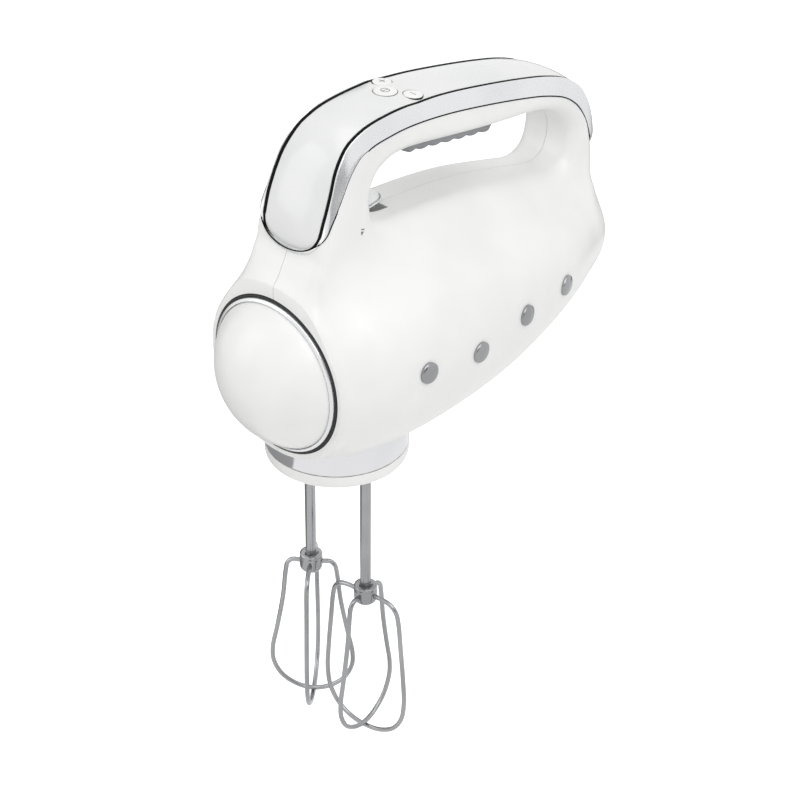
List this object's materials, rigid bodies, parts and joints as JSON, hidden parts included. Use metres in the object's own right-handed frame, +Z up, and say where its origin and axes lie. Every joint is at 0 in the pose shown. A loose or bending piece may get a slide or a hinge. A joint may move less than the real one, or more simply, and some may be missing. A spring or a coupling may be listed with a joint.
{
  "type": "hand mixer",
  "caption": "Hand mixer with a closed handle ring on a tapering round body, a domed front, a round chrome-banded gearbox base and two wire balloon beaters.",
  "frame": {"origin": "centre of the flat underside of the round gearbox base, midway between the two beater spindles", "axes": "+Z up through the base towards the handle, -Y towards the domed front, +Y towards the flat heel, +X towards the mixer's left side"},
  "size_m": [0.1084, 0.2348, 0.3431],
  "materials": {
    "shell_white": "satin gloss enamelled plastic",
    "cover_pearl": "smooth pearl plastic",
    "trim_satin": "satin",
    "chrome_bright": "polished",
    "steel_polished": "polished",
    "grip_rubber": "matte",
    "seal_black": "matte",
    "window_dark": "gloss",
    "plastic_dark": "matte",
    "bronze": "sintered",
    "cast_metal": "as cast",
    "copper": "wound and varnished",
    "nylon": "moulded",
    "circuit": "laminate",
    "carbon": "pressed"
  },
  "bodies": {
    "body": {"base_band": "chrome_bright", "base_plate": "shell_white", "base_screw_1": "steel_polished", "base_screw_2": "steel_polished", "base_screw_3": "steel_polished", "brush_holder_left": "bronze", "brush_holder_right": "bronze", "brush_left": "carbon", "brush_right": "carbon", "button_board": "circuit", "cord_gland": "seal_black", "display_window": "window_dark", "ejector_spring": "steel_polished", "front_bearing": "bronze", "front_cap": "shell_white", "front_gasket": "seal_black", "front_ring": "trim_satin", "gear_frame": "cast_metal", "grip_insert": "grip_rubber", "handle_cover": "cover_pearl", "handle_trim": "trim_satin", "heel_foot": "grip_rubber", "heel_plate": "shell_white", "heel_screw_left": "steel_polished", "heel_screw_right": "steel_polished", "housing_left": "shell_white", "housing_right": "shell_white", "lever_pin": "steel_polished", "lower_bush_left": "bronze", "lower_bush_right": "bronze", "motor_can": "cast_metal", "power_board": "circuit", "rear_bearing": "bronze", "stator": "plastic_dark", "upper_bush_left": "bronze", "upper_bush_right": "bronze"},
    "rotor": {"motor_shaft": "steel_polished", "armature": "copper", "commutator": "copper", "fan": "nylon"},
    "spindle_left": {"spindle_left": "steel_polished", "worm_wheel_left": "nylon"},
    "spindle_right": {"spindle_right": "steel_polished", "worm_wheel_right": "nylon"},
    "beater_left": {"beater_shaft_left": "steel_polished", "beater_hub_left": "steel_polished", "wide_loop_left": "steel_polished", "pear_loop_left": "steel_polished"},
    "beater_right": {"beater_shaft_right": "steel_polished", "beater_hub_right": "steel_polished", "wide_loop_right": "steel_polished", "pear_loop_right": "steel_polished"},
    "lever": {"eject_lever": "trim_satin"},
    "ejector": {"ejector_plate": "plastic_dark"},
    "power_key": {"power_button": "shell_white"},
    "minus_key": {"minus_button": "shell_white"},
    "plus_key": {"plus_button": "shell_white"}
  },
  "joints": [
    {"name": "rotor_spin", "type": "hinge", "parent": "body", "child": "rotor", "pos_m": [0, 0, 0.045], "axis": [0, 1, 0], "continuous": true},
    {"name": "spindle_left_spin", "type": "hinge", "parent": "body", "child": "spindle_left", "pos_m": [0.019, 0, 0.045], "axis": [0, 0, 1], "continuous": true},
    {"name": "spindle_right_spin", "type": "hinge", "parent": "body", "child": "spindle_right", "pos_m": [-0.019, 0, 0.045], "axis": [0, 0, 1], "continuous": true},
    {"name": "beater_left_release", "type": "slide", "parent": "spindle_left", "child": "beater_left", "axis": [0, 0, -1], "range_m": [0, 0.034]},
    {"name": "beater_right_release", "type": "slide", "parent": "spindle_right", "child": "beater_right", "axis": [0, 0, -1], "range_m": [0, 0.034]},
    {"name": "lever_press", "type": "hinge", "parent": "body", "child": "lever", "pos_m": [0, -0.001, 0.1275], "axis": [-1, 0, 0], "range_deg": [0, 19]},
    {"name": "ejector_slide", "type": "slide", "parent": "body", "child": "ejector", "axis": [0, 0, -1], "range_m": [0, 0.006], "stiffness_N_per_m": 150, "springref_m": -0.004, "deforming": ["ejector_spring"]},
    {"name": "power_press", "type": "slide", "parent": "body", "child": "power_key", "axis": [0, -0.0592, -0.9982], "range_m": [0, 0.0006], "stiffness_N_per_m": 400, "springref_m": -0.0005},
    {"name": "minus_press", "type": "slide", "parent": "body", "child": "minus_key", "axis": [0, -0.1042, -0.9946], "range_m": [0, 0.0006], "stiffness_N_per_m": 400, "springref_m": -0.0005},
    {"name": "plus_press", "type": "slide", "parent": "body", "child": "plus_key", "axis": [0, -0.1042, -0.9946], "range_m": [0, 0.0006], "stiffness_N_per_m": 400, "springref_m": -0.0005}
  ],
  "couplings": [
    {"joint": "spindle_left_spin", "follows": "rotor_spin", "ratio": -0.041667},
    {"joint": "spindle_right_spin", "follows": "rotor_spin", "ratio": 0.041667},
    {"joint": "lever_press", "follows": "ejector_slide", "rad_per_m": 55.269}
  ]
}
